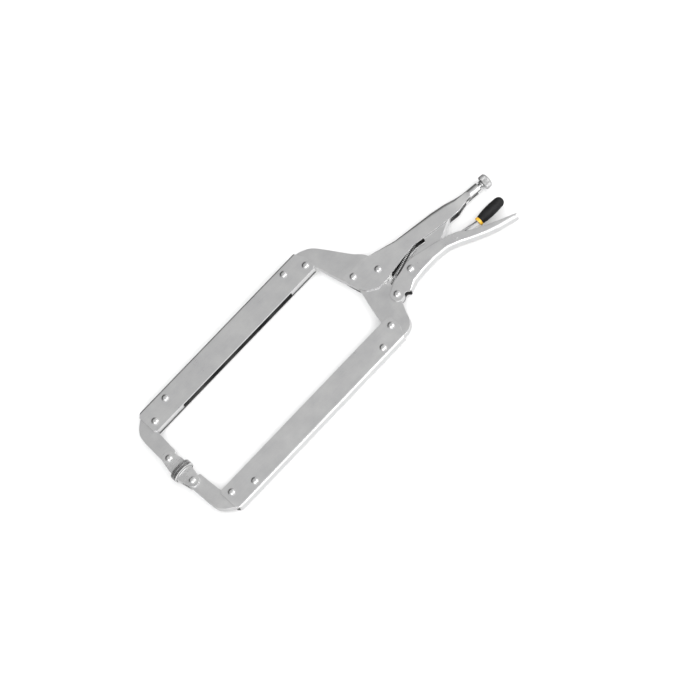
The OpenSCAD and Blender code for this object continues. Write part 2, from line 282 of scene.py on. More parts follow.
# Smears left by hands: patches that dull the shine, and thin scratches that cross each other
def makeHandlingGroup():
    tree, given, out = newTree("ShaderNodeTree", "handling", [
        ("Vector", "Vector", (0, 0, 0)),
        ("Amount", "Float", 0.1),
    ], [("Smear", "Float"), ("Scratch", "Float")])
    vector = given.outputs["Vector"]
    patches = remap(tree, noise(tree, vector, 28, 6, 0.65), 0.5, 0.72, 0.0, 1.0)
    tree.links.new(mathNode(tree, "MULTIPLY", patches, given.outputs["Amount"]), out.inputs["Smear"])
    total = None
    for angle in (0.5, 1.9):
        turned = addNode(tree, "ShaderNodeMapping",
                         {"Rotation": (0, 0, angle), "Scale": (1.0, 0.03, 0.3), "Vector": vector})
        thin = remap(tree, noise(tree, turned.outputs["Vector"], 900, 1, 0.4), 0.75, 0.80, 0.0, 1.0)
        total = thin if total is None else mathNode(tree, "MAXIMUM", total, thin)
    tree.links.new(total, out.inputs["Scratch"])
    return tree


# Where the surface is neither a flat nor a wall it is a fold or an edge; the mask lifts its colour there,
# partly edge wear and partly a painted highlight
def makeSheenAndWearGroup():
    tree, given, out = newTree("ShaderNodeTree", "sheenAndWearEdges", [
        ("Vector", "Vector", (0, 0, 0)),
        ("Amount", "Float", 1.0),
    ], [("Mask", "Float")])
    facing = tree.nodes.new("ShaderNodeTexCoord")
    parts = tree.nodes.new("ShaderNodeSeparateXYZ")
    tree.links.new(facing.outputs["Normal"], parts.inputs["Vector"])
    upright = mathNode(tree, "ABSOLUTE", parts.outputs["Z"])
    rise = remap(tree, upright, 0.10, 0.35, 0.0, 1.0)
    fall = remap(tree, upright, 0.86, 0.985, 1.0, 0.0)
    uneven = remap(tree, noise(tree, given.outputs["Vector"], 160, 4, 0.6), 0.35, 0.55, 0.6, 1.0)
    mask = mathNode(tree, "MULTIPLY", mathNode(tree, "MULTIPLY", rise, fall), uneven)
    tree.links.new(mathNode(tree, "MULTIPLY", mask, given.outputs["Amount"]), out.inputs["Mask"])
    return tree


platingGroup = makePlatingGroup()
handlingGroup = makeHandlingGroup()
sheenAndWearGroup = makeSheenAndWearGroup()


def newMaterial(name):
    material = bpy.data.materials.new(name)
    material.use_nodes = True
    tree = material.node_tree
    tree.nodes.clear()
    shader = tree.nodes.new("ShaderNodeBsdfPrincipled")
    output = tree.nodes.new("ShaderNodeOutputMaterial")
    tree.links.new(shader.outputs["BSDF"], output.inputs["Surface"])
    place = tree.nodes.new("ShaderNodeTexCoord")
    return material, tree, shader, place.outputs["Object"]


def ramp(tree, value, stops):
    node = tree.nodes.new("ShaderNodeValToRGB")
    for i, (at, color) in enumerate(stops):
        stop = node.color_ramp.elements[i] if i < 2 else node.color_ramp.elements.new(at)
        stop.position = at
        stop.color = (*color, 1)
    tree.links.new(value, node.inputs["Fac"])
    return node.outputs["Color"]


def bumpFrom(tree, height, distance, strength, shader):
    bump = addNode(tree, "ShaderNodeBump", {"Distance": distance, "Strength": strength, "Height": height})
    tree.links.new(bump.outputs["Normal"], shader.inputs["Normal"])


# dark and light are the tone's ends, relief is in millimetres
metalLooks = {
    "satinSheet": {"dark": 0.64, "light": 0.72, "rough": 0.30, "spread": 0.12, "streaks": 0.25,
                   "smear": 0.05, "sheenAndWear": 1.0, "relief": 0.012, "bump": 0.35},
    "jawPlate": {"dark": 0.60, "light": 0.69, "rough": 0.33, "spread": 0.14, "streaks": 0.15,
                 "smear": 0.06, "sheenAndWear": 1.0, "relief": 0.014, "bump": 0.4},
    "padMetal": {"dark": 0.58, "light": 0.74, "rough": 0.26, "spread": 0.18, "streaks": 0.3,
                 "smear": 0.08, "sheenAndWear": 0.5, "relief": 0.012, "bump": 0.35},
    "rivetChrome": {"dark": 0.66, "light": 0.80, "rough": 0.10, "spread": 0.08, "streaks": 0.1,
                    "smear": 0.04, "sheenAndWear": 0.0, "relief": 0.004, "bump": 0.2},
    "screwSteel": {"dark": 0.44, "light": 0.60, "rough": 0.32, "spread": 0.16, "streaks": 0.2,
                   "smear": 0.08, "sheenAndWear": 0.0, "relief": 0.008, "bump": 0.3},
    # The spring's wire is kept dark: painted shade for the channel it lies in
    "shadedSpringWire": {"dark": 0.26, "light": 0.42, "rough": 0.24, "spread": 0.14, "streaks": 0.2,
                   "smear": 0.06, "sheenAndWear": 0.0, "relief": 0.005, "bump": 0.25},
    # Near-black metal for the pad grooves and rivet seams: painted shade in the recesses
    "paintedGrooveShade": {"dark": 0.012, "light": 0.035, "rough": 0.5, "spread": 0.2, "streaks": 0.2,
                   "smear": 0.15, "sheenAndWear": 0.0, "relief": 0.01, "bump": 0.4},
    # Near-black metal for the faces inside the channels: painted shade between the plates
    "channelPaintedShade": {"dark": 0.07, "light": 0.16, "rough": 0.5, "spread": 0.2, "streaks": 0.2,
                      "smear": 0.15, "sheenAndWear": 0.0, "relief": 0.015, "bump": 0.5},
}
# The near-white colour for folds and edges is a painted highlight together with wear; polish and scratch act
# on roughness
wear = {"sheenAndWearColor": (0.94, 0.94, 0.935, 1), "polish": 0.08, "scratch": 0.06}


def addGroup(tree, group, **inputs):
    return addNode(tree, "ShaderNodeGroup", inputs, node_tree=group)


def makeMetal(name):
    look = metalLooks[name]
    material, tree, shader, vector = newMaterial(name)
    plating = addGroup(tree, platingGroup, Vector=vector,
                       Roughness=look["rough"], Spread=look["spread"], Streaks=look["streaks"])
    handling = addGroup(tree, handlingGroup, Vector=vector, Amount=look["smear"])
    sheenAndWear = addGroup(tree, sheenAndWearGroup, Vector=vector, Amount=look["sheenAndWear"])
    dark, light = look["dark"], look["light"]
    color = ramp(tree, plating.outputs["Tone"], [
        (0.3, (dark, dark, dark * 1.01)), (0.7, (light, light, light * 0.995))])
    # Folds and edges are mixed towards the near-white colour: a painted highlight together with edge wear
    bright = addNode(tree, "ShaderNodeMix", data_type="RGBA")
    bright.inputs["B"].default_value = wear["sheenAndWearColor"]
    tree.links.new(sheenAndWear.outputs["Mask"], bright.inputs["Factor"])
    tree.links.new(color, bright.inputs["A"])
    tree.links.new(bright.outputs["Result"], shader.inputs["Base Color"])
    scratch = mathNode(tree, "MULTIPLY", handling.outputs["Scratch"], wear["scratch"])
    rough = mathNode(tree, "ADD", plating.outputs["Roughness"], handling.outputs["Smear"])
    rough = mathNode(tree, "ADD", rough, scratch)
    worn = mathNode(tree, "MULTIPLY_ADD", sheenAndWear.outputs["Mask"], -wear["polish"], rough)
    tree.links.new(worn, shader.inputs["Roughness"])
    shader.inputs["Metallic"].default_value = 1.0
    height = mathNode(tree, "SUBTRACT", plating.outputs["Height"], scratch)
    bumpFrom(tree, height, look["relief"] * mm, look["bump"], shader)
    return material


metals = {name: makeMetal(name) for name in metalLooks}
print("metals made:", len(metals))

gripLook = {"dark": (0.004, 0.004, 0.004), "light": (0.014, 0.014, 0.015), "rough": (0.45, 0.62),
            "shine": 0.22, "smear": 0.15, "grain": 1000, "relief": 0.22 * mm}
collarLook = {"dark": (0.62, 0.30, 0.02), "light": (0.86, 0.50, 0.05), "rough": (0.26, 0.40),
              "shine": 0.5, "smear": 0.15, "grain": 2400, "relief": 0.02 * mm}


def makeMoulded(name, look):
    material, tree, shader, vector = newMaterial(name)
    handling = addGroup(tree, handlingGroup, Vector=vector, Amount=look["smear"])
    clouds = noise(tree, vector, 140, 4, 0.6)
    pebble = addNode(tree, "ShaderNodeTexVoronoi", {"Scale": look["grain"], "Vector": vector})
    tone = mathNode(tree, "MULTIPLY_ADD", pebble.outputs["Distance"], 0.35, clouds)
    color = ramp(tree, tone, [(0.35, look["dark"]), (0.85, look["light"])])
    tree.links.new(color, shader.inputs["Base Color"])
    shader.inputs["Specular IOR Level"].default_value = look["shine"]
    base = remap(tree, clouds, 0.3, 0.7, *look["rough"])
    tree.links.new(mathNode(tree, "ADD", base, handling.outputs["Smear"]), shader.inputs["Roughness"])
    bumpFrom(tree, pebble.outputs["Distance"], look["relief"], 0.5, shader)
    return material


gripRubber = makeMoulded("gripRubber", gripLook)
collarPlastic = makeMoulded("collarPlastic", collarLook)
print("rubber and plastic made")


stampLook = {
    "widestFold": 5.5 * mm,
    "foldRows": 8,
    "curveUpTo": 50,  # degrees
    "cornerShare": 47,  # percent of the shorter side
    "cornerSteps": 4,
    "cornerBend": (4, 42),  # degrees
    "cornerSide": 1.2 * mm,
    "edgeRadius": 0.35 * mm,
    "sharpFrom": 28,  # degrees
    "insideGap": 5.6 * mm,
    "holeMargin": 3.9 * mm,
    "arcStep": 1.3 * mm,  # sides up to this length belong to a rounded corner
    "cornerReach": 3 * mm,
    "flatWithin": 0.7,  # degrees
}
rivetNodes = [n for n in frame["nodes"] if "rivet" in n or n == "release_pin"]
rivetSpots = [(lo + hi) / 2 for n in rivetNodes for lo, hi in solidsOf(n)]


def smoothStep(value, low, high):
    share = min(1.0, max(0.0, (value - low) / (high - low)))
    return share * share * (3 - 2 * share)


def nearRivet(point):
    return min((point - spot).xy.length for spot in rivetSpots) < stampLook["holeMargin"]


# The slight corners of a shell's outline run into one another as a curve
def smoothOutline(bm, limit):
    bm.normal_update()
    lowest, highest = (math.radians(a) for a in stampLook["cornerBend"])
    corners = []
    for edge in bm.edges:
        if len(edge.link_faces) != 2:
            continue
        along = edge.verts[1].co - edge.verts[0].co
        bend = abs(edge.calc_face_angle_signed())
        upright = abs(along.z) > 0.999 * along.length
        if not upright or not lowest < bend < highest:
            continue
        widths = [max((v.co - edge.verts[0].co).xy.length for v in f.verts) for f in edge.link_faces]
        place = edge.verts[0].co
        if min(widths) > stampLook["cornerSide"] and place.x < limit and not nearRivet(place):
            corners.append(edge)
    bmesh.ops.bevel(bm, geom=corners, offset=stampLook["cornerShare"], offset_type="PERCENT",
                    segments=stampLook["cornerSteps"], profile=0.5, affect="EDGES", clamp_overlap=False)


def cutAcross(bm, point, normal):
    bmesh.ops.bisect_plane(bm, geom=bm.verts[:] + bm.edges[:] + bm.faces[:], plane_co=point, plane_no=normal)


# The sharp outside corners of a folded shell are drawn in to a radius, row by row
def roundFolds(bm, fold):
    widest = stampLook["widestFold"]
    top = max(v.co.z for v in bm.verts)
    for i in range(1, stampLook["foldRows"] + 1):
        depth = widest * (1 - math.cos(math.pi / 2 * i / stampLook["foldRows"]))
        for sign in (-1, 1):
            cutAcross(bm, (0, 0, sign * (top - depth)), (0, 0, 1))
    (growFrom, small), (growTo, large) = fold["radii"]
    for i in range(fold["cuts"]):
        cutAcross(bm, (growFrom + (growTo - growFrom) * (i + 0.5) / fold["cuts"], 0, 0), (1, 0, 0))
    bm.normal_update()
    moves = []
    for vert in bm.verts:
        depth = top - abs(vert.co.z)
        if depth >= widest or nearRivet(vert.co):
            continue
        outward = Vector((0, 0, 0))
        for face in vert.link_faces:
            if abs(face.normal.z) < 0.2:
                outward += face.normal * face.calc_area() ** 0.5
        if outward.length < 1e-9:
            continue
        outward.normalize()
        share = smoothStep(outward.y * fold["side"], *fold["turn"]) * smoothStep(vert.co.x, *fold["rise"])
        share *= 1 - fold["fallShare"] * smoothStep(vert.co.x, *fold["fall"])
        local = share * (small + (large - small) * smoothStep(vert.co.x, growFrom, growTo))
        if depth < local:
            moves.append((vert, outward * (local - math.sqrt(local ** 2 - (local - max(depth, 0)) ** 2))))
    for vert, move in moves:
        vert.co -= move


# Towards its end the shell is drawn on to the round neck from all sides
def drawInNeck(bm, look):
    count = 12
    for i in range(count + 1):
        cutAcross(bm, (look["from"] + (look["to"] - look["from"]) * i / count, 0, 0), (1, 0, 0))
    slope = screwAxis.y / screwAxis.x
    for vert in bm.verts:
        axisY = screwPoint.y + slope * (vert.co.x - screwPoint.x)
        away = Vector((vert.co.y - axisY, vert.co.z))
        over = away.length - look["radius"]
        if over > 0 and vert.co.x > look["from"]:
            share = look["share"] * smoothStep(vert.co.x, look["from"], look["to"])
            away *= 1 - over * share / away.length
            vert.co.y = axisY + away.x
            vert.co.z = away.y


# Convex edges get a small radius; on a folded shell only its free edges do
def edgeWeight(edge, fold):
    if len(edge.link_faces) != 2 or edge.calc_face_angle_signed() < math.radians(stampLook["sharpFrom"]):
        return 0.0
    if not fold:
        return 1.0
    flat = [f for f in edge.link_faces if abs(f.normal.z) > 0.95]
    wall = [f for f in edge.link_faces if abs(f.normal.z) < 0.1]
    free = flat and wall and wall[0].normal.y * fold["side"] < -0.15
    middle = (edge.verts[0].co + edge.verts[1].co) / 2
    return 1.0 if free and middle.x < fold["plainFrom"] and not nearRivet(middle) else 0.0


# Faces inside a channel, which take the near-black material painted there as shade
def insideChannel(face, side, fold):
    centre = face.calc_center_median()
    if abs(centre.z) > stampLook["insideGap"] or (fold and centre.x > fold["plainFrom"]):
        return False
    return abs(face.normal.z) > 0.9 or face.normal.y * side < -0.3


# A CAD node's mesh without its seams and without the edges inside flat faces
def cleanSolid(node):
    bm = bmesh.new()
    bm.from_mesh(frame["nodes"][node].data)
    bmesh.ops.remove_doubles(bm, verts=bm.verts, dist=weld)
    bmesh.ops.dissolve_limit(bm, angle_limit=math.radians(stampLook["flatWithin"]),
                             verts=bm.verts, edges=bm.edges)
    return bm


def stampedPiece(name, node, materials, body, side=0, fold=None, shape=None):
    bm = cleanSolid(node)
    if fold:
        smoothOutline(bm, fold["smoothTo"])
        roundFolds(bm, fold)
    if shape:
        shape(bm)
    bm.normal_update()
    layer = bm.edges.layers.float.new("bevel_weight_edge")
    for edge in bm.edges:
        edge[layer] = edgeWeight(edge, fold)
    # Faces inside the channel get the second material, painted shade between the plates
    if len(materials) > 1:
        for face in bm.faces:
            face.material_index = 1 if insideChannel(face, side, fold) else 0
    mesh = meshFrom(bm, name)
    if "custom_normal" in mesh.attributes:
        mesh.attributes.remove(mesh.attributes["custom_normal"])
    piece = newObject(name, mesh)
    for material in materials:
        piece.data.materials.append(material)
    bevel = piece.modifiers.new("edges", "BEVEL")
    bevel.limit_method = "WEIGHT"
    bevel.width = stampLook["edgeRadius"]
    bevel.segments = 2
    bevel.use_clamp_overlap = False
    bakeModifiers(piece)
    evenNormals(piece)
    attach(piece, body)
    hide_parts(node)
    return piece


# Closed loops of wall corners at a height, with the metal on the left of each
def wallLoops(bm, height):
    following = {}
    for face in bm.faces:
        if abs(face.normal.z) > 0.01:
            continue
        onward = Vector((-face.normal.y, face.normal.x))
        crossed = [e.verts[0].co for e in face.edges
                   if (e.verts[0].co.z - height) * (e.verts[1].co.z - height) < 0]
        ends = [tuple(round(c, 6) for c in p.xy) for p in sorted(crossed, key=lambda p: p.xy.dot(onward))]
        following.update(zip(ends[::2], ends[1::2]))
    loops = []
    while following:
        start, point = following.popitem()
        loop = [start]
        while point != start:
            loop.append(point)
            point = following.pop(point)
        loops.append([Vector(p) for p in loop])
    return loops


def loopArea(loop):
    return sum(a.cross(b) for a, b in zip(loop, loop[1:] + loop[:1])) / 2


# The small arcs between long straight sides are taken back to single corners
def plainCorners(loop, shortest, widest):
    count = len(loop)
    first = next((i for i in range(count) if (loop[i] - loop[i - 1]).length > shortest), 0)
    loop = loop[first:] + loop[:first]
    result, i = [], 0
    while i < count:
        k = i
        while k + 1 < count and (loop[k + 1] - loop[k]).length <= shortest:
            k += 1
        before, after = loop[i - 1], loop[(k + 1) % count]
        inSide, outSide = loop[i] - before, after - loop[k]
        bend = abs(inSide.angle_signed(outSide, 0))
        corner = None
        if k > i and math.radians(2) < bend < widest:
            corner = loop[i] + inSide * ((loop[k] - loop[i]).cross(outSide) / inSide.cross(outSide))
        if corner and max((corner - loop[i]).length, (corner - loop[k]).length) < stampLook["cornerReach"]:
            result.append(corner)
        else:
            result += loop[i:k + 1]
        i = k + 1
    return result


# Each slight corner of a loop becomes a curve between points on the two sides next to it
def curvedLoop(loop, reach):
    points = []
    widest = math.radians(stampLook["curveUpTo"])
    loop = plainCorners(loop, stampLook["arcStep"], widest)
    for before, here, after in zip(loop[-1:] + loop[:-1], loop, loop[1:] + loop[:1]):
        bend = abs((here - before).angle_signed(after - here, 0))
        if not math.radians(2) < bend < widest:
            points.append(here)
            continue
        one, two = before - here, after - here
        start = here + one * min(0.49, reach / one.length)
        end = here + two * min(0.49, reach / two.length)
        steps = 2 if (end - start).length < 1 * mm else 6
        for share in (i / steps for i in range(steps + 1)):
            points.append(start.lerp(here, share).lerp(here.lerp(end, share), share))
    return points


def insetLoop(loop, distance):
    points = []
    for before, here, after in zip(loop[-1:] + loop[:-1], loop, loop[1:] + loop[:1]):
        one, two = (here - before).normalized(), (after - here).normalized()
        inward = Vector((-one.y - two.y, one.x + two.x))
        if inward.length > 1e-6:
            inward.normalize()
            inward /= max(0.7, inward.dot(Vector((-one.y, one.x))))
        points.append(here + inward * distance)
    return points


# A flat piece between two heights, with rounded rims at whichever of them are outside faces
def addPlate(bm, loops, low, high, roundLow, roundHigh, reach):
    rim = stampLook["edgeRadius"]
    rows = [(low, rim if roundLow else 0), (high, rim if roundHigh else 0)]
    if roundLow:
        rows[1:1] = [(low + 0.3 * rim, 0.3 * rim), (low + rim, 0)]
    if roundHigh:
        rows[-1:-1] = [(high - rim, 0), (high - 0.3 * rim, 0.3 * rim)]
    stacks = []
    for loop in loops:
        outer = loopArea(loop) > 0
        shape = curvedLoop(loop, reach) if outer else loop
        stack = []
        for height, inset in rows:
            ring = insetLoop(shape, inset) if outer and inset else shape
            stack.append([bm.verts.new((p.x, p.y, height)) for p in ring])
        for lower, upper in zip(stack, stack[1:]):
            for i in range(len(lower)):
                k = (i + 1) % len(lower)
                bm.faces.new((lower[i], lower[k], upper[k], upper[i]))
        stacks.append(stack)
    for end in (0, -1):
        rings = [stack[end] for stack in stacks]
        flat = [v for ring in rings for v in ring]
        for corners in tessellate_polygon([[v.co.copy() for v in ring] for ring in rings]):
            if len(set(corners)) == 3:
                bm.faces.new([flat[i] for i in corners])


def evenNormals(piece):
    setSmooth(piece)
    even = piece.modifiers.new("normals", "WEIGHTED_NORMAL")
    even.keep_sharp = True
    bakeModifiers(piece)


# A stamped plate, made again layer by layer from the loops of its CAD solid
def platePiece(name, node, body, reach):
    heights = sorted(v.co.z for v in frame["nodes"][node].data.vertices)
    levels = [z for i, z in enumerate(heights) if i == 0 or z - heights[i - 1] > 0.1 * mm]
    source = cleanSolid(node)
    source.normal_update()
    bm = bmesh.new()
    for low, high in zip(levels, levels[1:]):
        loops = wallLoops(source, (low + high) / 2)
        addPlate(bm, loops, low, high, low == levels[0], high == levels[-1], reach)
    source.free()
    bmesh.ops.recalc_face_normals(bm, faces=bm.faces)
    piece = newObject(name, meshFrom(bm, name))
    giveMaterial(piece, metals["jawPlate"])
    evenNormals(piece)
    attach(piece, body)
    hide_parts(node)


def pivotX(*distances):
    return tuple(jawPivot.x + d * mm for d in distances)


# A sheet shell's second material is the near-black metal painted inside its channel as shade
sheetPair = (metals["satinSheet"], metals["channelPaintedShade"])
upperFold = {
    "side": 1,
    "rise": pivotX(3, 10),
    "fall": pivotX(112, 122),
    "fallShare": 0.8,
    "turn": (0.05, 0.4),
    "radii": ((jawPivot.x + 30 * mm, 2.4 * mm), (jawPivot.x + 100 * mm, 5.4 * mm)),
    "cuts": 10,
    "plainFrom": jawPivot.x + 104 * mm,
    "smoothTo": jawPivot.x + 94 * mm,
}
lowerFold = {
    "side": -1,
    "rise": pivotX(5, 12),
    "fall": pivotX(144, 155),
    "fallShare": 0.8,
    "turn": (0.05, 0.4),
    "radii": ((jawPivot.x + 90 * mm, 2.4 * mm), (jawPivot.x + 145 * mm, 3.6 * mm)),
    "cuts": 10,
    "plainFrom": 1.0,  # past the end, so nowhere
    "smoothTo": jawPivot.x + 140 * mm,
}
neck = {"from": jawPivot.x + 98 * mm, "to": jawPivot.x + 126 * mm, "radius": 5.65 * mm, "share": 0.9}
stampedPiece("upper_handle_shell", "upper_handle", sheetPair, "upper_handle", 1, upperFold,
             lambda bm: drawInNeck(bm, neck))
stampedPiece("lower_handle_shell", "lower_handle", sheetPair, "lower_handle", -1, lowerFold)
stampedPiece("fixed_arm_channel", "fixed_arm", sheetPair, "upper_handle", 1)
stampedPiece("moving_arm_channel", "moving_arm", sheetPair, "moving_jaw", -1)
jawReach, tipReach = 5 * mm, 16 * mm  # how far a corner's curve runs along its sides
platePiece("fixed_jaw_plate", "fixed_jaw", "upper_handle", jawReach)
platePiece("moving_jaw_plate", "moving_jaw", "moving_jaw", jawReach)
platePiece("fixed_tip_plate", "fixed_tip", "upper_handle", tipReach)
platePiece("moving_tip_plate", "moving_tip", "moving_jaw", tipReach)
platePiece("toggle_link_plate", "toggle_link", "toggle_link", jawReach)
stampedPiece("release_strip", "release_lever", (metals["satinSheet"],), "release_lever")
print("stamped pieces made")


padLook = {
    "footThick": 4.0 * mm,
    "groove": 0.5 * mm,
    "grooves": 3,
    "chamfer": 0.5 * mm,
    "edge": 0.15 * mm,
    "backRise": 0.8 * mm,
    "backInset": (2.5 * mm, 3.4 * mm),
    "cutAt": 3.2 * mm,
}


def padFoot(name, radius, side):
    look = padLook
    thick, groove, edge = look["footThick"], look["groove"], look["edge"]
    back = thick + look["backRise"]
    wide, narrow = (radius - inset for inset in look["backInset"])
    profile = [(0, 0), (0, radius - 2 * look["chamfer"]), (edge, radius - look["chamfer"])]
    step = (thick - 2 * edge) / look["grooves"]
    for i in range(look["grooves"]):
        low = edge + i * step
        profile += [(low + 0.08 * step, radius), (low + 0.42 * step, radius),
                    (low + 0.48 * step, radius - groove), (low + 0.98 * step, radius - groove)]
    profile += [(thick, radius - 2 * groove), (thick, wide), (back, narrow), (back, 0)]
    return lathe(name, profile, Vector((0, 0, 0)), Vector((0, side, 0)), 96)


def makePad(name, node, body, side):
    cut = padLook["cutAt"]
    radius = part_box(node)[1].x

    def trimFoot(bm):
        geometry = bm.verts[:] + bm.edges[:] + bm.faces[:]
        result = bmesh.ops.bisect_plane(bm, geom=geometry, plane_co=(0, side * cut, 0),
                                        plane_no=(0, side, 0), clear_inner=True)
        edges = [e for e in result["geom_cut"] if isinstance(e, bmesh.types.BMEdge)]
        bmesh.ops.holes_fill(bm, edges=edges, sides=0)

    clevis = stampedPiece(name + "_clevis", node, (metals["padMetal"],), body, shape=trimFoot)
    foot = padFoot(name + "_foot", radius, side)
    setSmooth(foot, 30)
    giveMaterial(foot, metals["padMetal"], metals["paintedGrooveShade"])
    rim = radius - padLook["groove"]
    # Faces at the bottom of the pad's grooves take the near-black material, painted shade in the grooves
    for face in foot.data.polygons:
        away = Vector((face.center.x, face.center.z)).length
        face.material_index = 1 if away < rim + 0.1 * mm and face.normal.y ** 2 < 0.3 else 0
    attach(foot, body)
    return clevis, foot


makePad("fixed_pad", "fixed_pad", "fixed_pad", 1)
makePad("moving_pad", "moving_pad", "moving_pad", -1)
print("pads made")


rivetLook = {
    "rimHeight": 0.35 * mm,
    "rimRound": 0.14 * mm,
    "domeInset": 0.50 * mm,
    "domeRise": 0.35 * mm,
    "sides": 40,
    "domeSteps": 7,
    "domePower": 1.15,
    "headHeight": 1.8 * mm,
    "shankShare": 0.66,
}


geometrySocket = ("Geometry", "Geometry")


def addTree(obj, tree, **values):
    modifier = obj.modifiers.new(tree.name, "NODES")
    modifier.node_group = tree
    for item in tree.interface.items_tree:
        if item.in_out == "INPUT" and item.name in values:
            modifier[item.identifier] = values[item.name]
    return modifier


# Realize Instances, then Set Material, then the output
def endTree(tree, geometry, material, out):
    realize = addNode(tree, "GeometryNodeRealizeInstances", {"Geometry": geometry})
    paint = addNode(tree, "GeometryNodeSetMaterial",
                    {"Geometry": realize.outputs["Geometry"], "Material": material})
    tree.links.new(paint.outputs["Geometry"], out.inputs["Geometry"])


# A head above and a head below each point, and the shank between them
def makeRivetTree():
    tree, given, out = newTree("GeometryNodeTree", "rivetRow", [
        geometrySocket, ("Head", "Object"), ("Shank Radius", "Float", 3 * mm), ("Material", "Material"),
    ], [geometrySocket])
    points = given.outputs["Geometry"]
    half = addNode(tree, "GeometryNodeInputNamedAttribute", data_type="FLOAT")
    half.inputs["Name"].default_value = "halfStack"
    head = addNode(tree, "GeometryNodeObjectInfo", {"Object": given.outputs["Head"]})
    join = tree.nodes.new("GeometryNodeJoinGeometry")
    for turn, sign in ((0, 1), (math.pi, -1)):
        height = mathNode(tree, "MULTIPLY", half.outputs["Attribute"], sign)
        lift = addNode(tree, "ShaderNodeCombineXYZ", {"Z": height})
        shift = addNode(tree, "GeometryNodeSetPosition",
                        {"Geometry": points, "Offset": lift.outputs["Vector"]})
        place = addNode(tree, "GeometryNodeInstanceOnPoints", {
            "Rotation": (turn, 0, 0), "Points": shift.outputs["Geometry"],
            "Instance": head.outputs["Geometry"]})
        tree.links.new(place.outputs["Instances"], join.inputs["Geometry"])
    shank = addNode(tree, "GeometryNodeMeshCylinder", {
        "Vertices": rivetLook["sides"], "Depth": 2.0, "Radius": given.outputs["Shank Radius"]})
    size = addNode(tree, "ShaderNodeCombineXYZ", {"X": 1, "Y": 1, "Z": half.outputs["Attribute"]})
    place = addNode(tree, "GeometryNodeInstanceOnPoints", {
        "Points": points, "Instance": shank.outputs["Mesh"], "Scale": size.outputs["Vector"]})
    tree.links.new(place.outputs["Instances"], join.inputs["Geometry"])
    endTree(tree, join.outputs["Geometry"], given.outputs["Material"], out)
    return tree


rivetTree = makeRivetTree()


# One head, standing on z = 0: a thin rounded rim with a dome on it
def rivetHead(radius, height):
    look = rivetLook
    rim, rounding = look["rimHeight"], look["rimRound"]
    dome = radius - look["domeInset"]
    profile = [(0, 0), (0, radius), (rim - rounding, radius), (rim, radius - rounding), (rim, dome)]
    for i in range(1, look["domeSteps"] + 1):
        angle = math.pi / 2 * i / look["domeSteps"]
        rise = math.sin(angle) ** look["domePower"]
        profile.append((rim + (height - rim) * rise, dome * math.cos(angle)))
    profile[-1] = (height, 0)
    head = lathe("rivetHead", profile, Vector((0, 0, 0)), Vector((0, 0, 1)), look["sides"])
    setSmooth(head, 30)
    return head


def makeRivets(name, body, nodes):
    spots = [s for node in nodes for s in solidsOf(node)]
    radius = (spots[0][1].x - spots[0][0].x) / 2
    height = rivetLook["headHeight"]
    head = rivetHead(radius, height + rivetLook["domeRise"])
    mesh = bpy.data.meshes.new(name)
    mesh.from_pydata([((lo.x + hi.x) / 2, (lo.y + hi.y) / 2, 0) for lo, hi in spots], [], [])
    half = mesh.attributes.new("halfStack", "FLOAT", "POINT")
    half.data.foreach_set("value", [hi.z - height for lo, hi in spots])
    piece = newObject(name, mesh)
    shank = radius * rivetLook["shankShare"]
    addTree(piece, rivetTree, Head=head, Material=metals["rivetChrome"], **{"Shank Radius": shank})
    bakeModifiers(piece)
    bpy.data.objects.remove(head)
    # The ring where each dome meets its rim takes the near-black material, painted shade in the seam
    piece.data.materials.append(metals["paintedGrooveShade"])
    seam = radius - rivetLook["domeInset"]
    for face in piece.data.polygons:
        away = min((face.center - (lo + hi) / 2).xy.length for lo, hi in spots)
        if seam < away < radius - rivetLook["rimRound"] and abs(face.normal.z) > 0.9:
            face.material_index = 1
    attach(piece, body)
    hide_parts(*nodes)


makeRivets("fixed_side_rivets", "upper_handle",
           ["fixed_root_rivets", "fixed_tip_rivets", "fixed_pad_rivet", "front_rivet", "pivot_rivet"])
makeRivets("moving_side_rivets", "moving_jaw",
           ["moving_root_rivets", "moving_tip_rivets", "moving_pad_rivet"])
makeRivets("lower_handle_rivets", "lower_handle", ["handle_rivet", "link_rivet"])
giveMaterial(frame["nodes"]["release_pin"], metals["rivetChrome"])
print("rivets made")


gripLathe = {
    "tilt": -2,  # degrees
    "ribs": 24,
    "ribDepth": 0.22 * mm,
    "collarLip": 0.5 * mm,
    "endLength": 7.0 * mm,
    "endSteps": 9,
    "endPower": 0.8,
    "swell": 0.75,
    "swellTo": 140,  # degrees of a sine
    "swellPower": 0.9,
}


